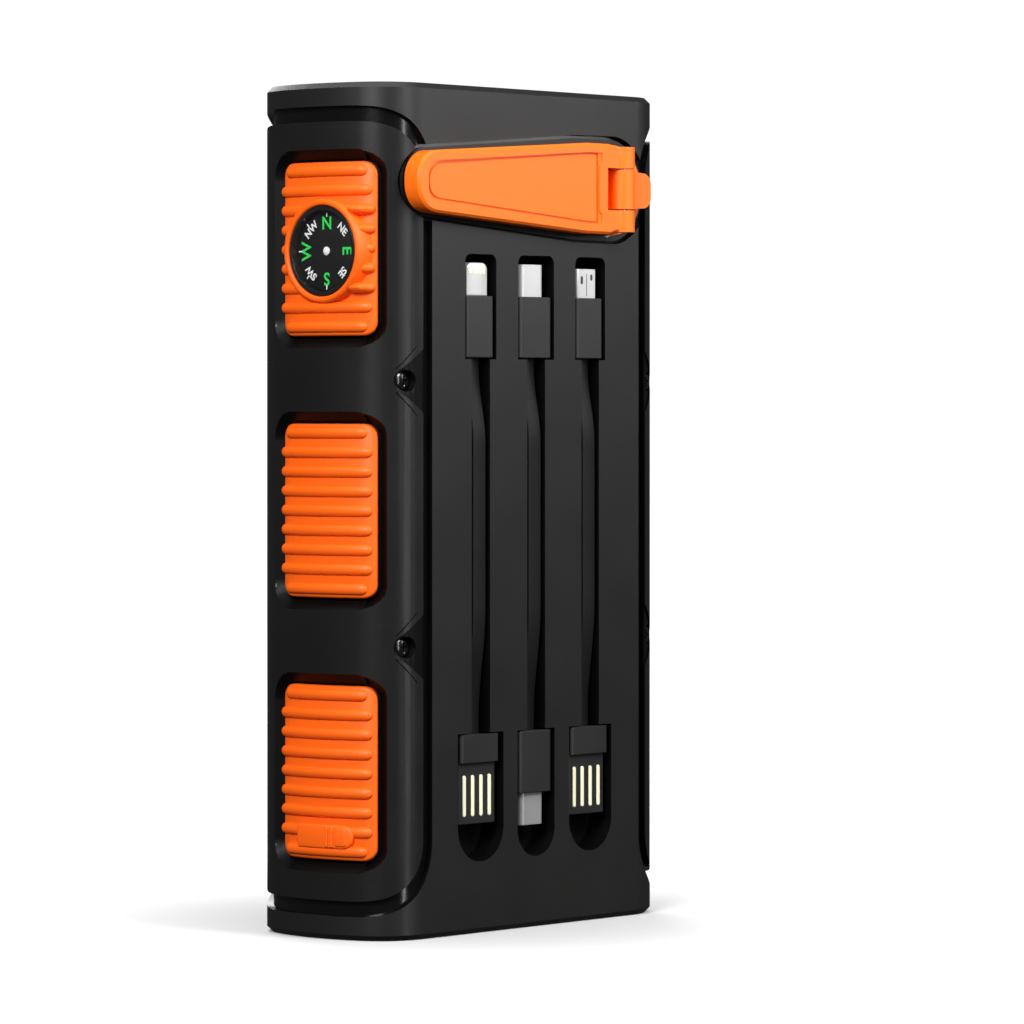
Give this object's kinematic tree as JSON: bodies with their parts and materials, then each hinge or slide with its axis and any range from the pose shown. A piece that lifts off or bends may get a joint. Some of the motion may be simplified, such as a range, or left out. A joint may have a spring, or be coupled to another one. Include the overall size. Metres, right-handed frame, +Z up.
{
  "type": "hand crank phone charger",
  "caption": "pocket power bank with a fold-out generator crank, stored charging cables, a side compass and ribbed grip pads",
  "frame": {"origin": "middle of the base, the flat underside the charger stands on", "axes": "+Z up along the tall side, +X along the wide face to the right, -Y out of the face with the crank and cables"},
  "size_m": [0.0933, 0.0441, 0.17],
  "materials": {
    "case_black": "fine satin moulding",
    "bumper_black": "smooth soft-touch",
    "orange_rubber": "smooth soft-touch",
    "orange_gloss": "satin moulding",
    "hub_black": "satin moulding",
    "steel": "bright drawn",
    "screw_black": "glossy black oxide",
    "brass": "turned",
    "copper": "enamelled wire",
    "gear_white": "moulded acetal",
    "cable_black": "soft moulding",
    "compass_dark": "printed dial",
    "clear": "clear polished",
    "cell_wrap": "shrink wrap",
    "board_green": "solder mask",
    "solar_blue": "printed cells",
    "led_white": "moulded"
  },
  "bodies": {
    "housing": {"front_shell": "case_black", "back_shell": "case_black", "left_rail": "bumper_black", "right_rail": "bumper_black", "left_upper_pad": "orange_rubber", "left_middle_pad": "orange_rubber", "right_upper_pad": "orange_rubber", "right_middle_pad": "orange_rubber", "right_lower_pad": "orange_rubber", "compass_cup": "compass_dark", "compass_lens": "clear", "case_screws": "screw_black", "battery_cell_1": "cell_wrap", "battery_cell_2": "cell_wrap", "battery_cell_3": "cell_wrap", "battery_cradle": "hub_black", "cell_links": "steel", "main_board": "board_green", "usb_socket": "steel", "usb_c_socket": "steel", "gear_plate_front": "steel", "gear_plate_back": "steel", "gearbox_pillars": "steel", "idler_axles": "steel", "hub_bush": "brass", "dynamo_can": "steel", "dynamo_coils": "copper", "solar_panel": "solar_blue", "solar_cover": "clear", "torch_lens": "clear", "torch_leds": "led_white", "indicator_lights": "clear", "switch_board": "board_green"},
    "crank_hub_body": {"crank_hub": "hub_black", "crank_shaft": "steel", "drive_gear": "gear_white", "hinge_pin": "steel"},
    "crank_arm_body": {"crank_arm": "orange_gloss", "grip_pin": "steel"},
    "crank_grip_body": {"crank_grip": "hub_black"},
    "idler_1": {"idler_gear_1": "gear_white"},
    "idler_2": {"idler_gear_2": "gear_white"},
    "rotor": {"dynamo_rotor": "steel"},
    "compass_card_body": {"compass_card": "compass_dark"},
    "port_cover_body": {"port_cover": "orange_rubber"},
    "power_button_body": {"power_button": "cable_black"},
    "left_cable": {"left_cable_plug": "cable_black", "left_cable_tip": "steel", "left_cable_lead": "cable_black", "left_cable_usb_plug": "cable_black"},
    "middle_cable": {"middle_cable_plug": "cable_black", "middle_cable_tip": "steel", "middle_cable_lead": "cable_black", "middle_cable_end_plug": "cable_black", "middle_cable_end_tip": "steel"},
    "right_cable": {"right_cable_plug": "cable_black", "right_cable_tip": "steel", "right_cable_lead": "cable_black", "right_cable_usb_plug": "cable_black"}
  },
  "joints": [
    {"name": "crank_spin", "type": "hinge", "parent": "housing", "child": "crank_hub_body", "pos_m": [0.02475, -0.0192, 0.1503], "axis": [0, -1, 0], "continuous": true},
    {"name": "arm_fold", "type": "hinge", "parent": "crank_hub_body", "child": "crank_arm_body", "pos_m": [0.02475, -0.02215, 0.1503], "axis": [0, 0, 1], "range_deg": [0, 165]},
    {"name": "grip_fold", "type": "hinge", "parent": "crank_arm_body", "child": "crank_grip_body", "pos_m": [-0.03185, -0.02105, 0.1503], "axis": [0, 0, 1], "range_deg": [0, 90]},
    {"name": "idler_1_spin", "type": "hinge", "parent": "housing", "child": "idler_1", "pos_m": [0.00775, -0.009, 0.14575], "axis": [0, -1, 0], "continuous": true},
    {"name": "idler_2_spin", "type": "hinge", "parent": "housing", "child": "idler_2", "pos_m": [-0.0088, -0.005, 0.14866], "axis": [0, -1, 0], "continuous": true},
    {"name": "rotor_spin", "type": "hinge", "parent": "housing", "child": "rotor", "pos_m": [-0.02458, 0.002, 0.14292], "axis": [0, -1, 0], "continuous": true},
    {"name": "compass_turn", "type": "hinge", "parent": "housing", "child": "compass_card_body", "pos_m": [-0.0434, -0.00345, 0.1366], "axis": [-1, 0, 0], "continuous": true},
    {"name": "port_cover_hinge", "type": "hinge", "parent": "housing", "child": "port_cover_body", "pos_m": [-0.044, 0, 0.0503], "axis": [0, 1, 0], "range_deg": [0, 100]},
    {"name": "power_button_push", "type": "slide", "parent": "housing", "child": "power_button_body", "axis": [-1, 0, 0], "range_m": [0, 0.0012], "stiffness_N_per_m": 800},
    {"name": "left_cable_lift", "type": "slide", "parent": "housing", "child": "left_cable", "axis": [0, -1, 0], "range_m": [0, 0.03]},
    {"name": "middle_cable_lift", "type": "slide", "parent": "housing", "child": "middle_cable", "axis": [0, -1, 0], "range_m": [0, 0.03]},
    {"name": "right_cable_lift", "type": "slide", "parent": "housing", "child": "right_cable", "axis": [0, -1, 0], "range_m": [0, 0.03]}
  ],
  "couplings": [
    {"joint": "idler_1_spin", "follows": "crank_spin", "ratio": -2.6667},
    {"joint": "idler_2_spin", "follows": "crank_spin", "ratio": 6.6667},
    {"joint": "rotor_spin", "follows": "crank_spin", "ratio": -16.667},
    {"joint": "grip_fold", "follows": "arm_fold", "ratio": 0.5}
  ]
}
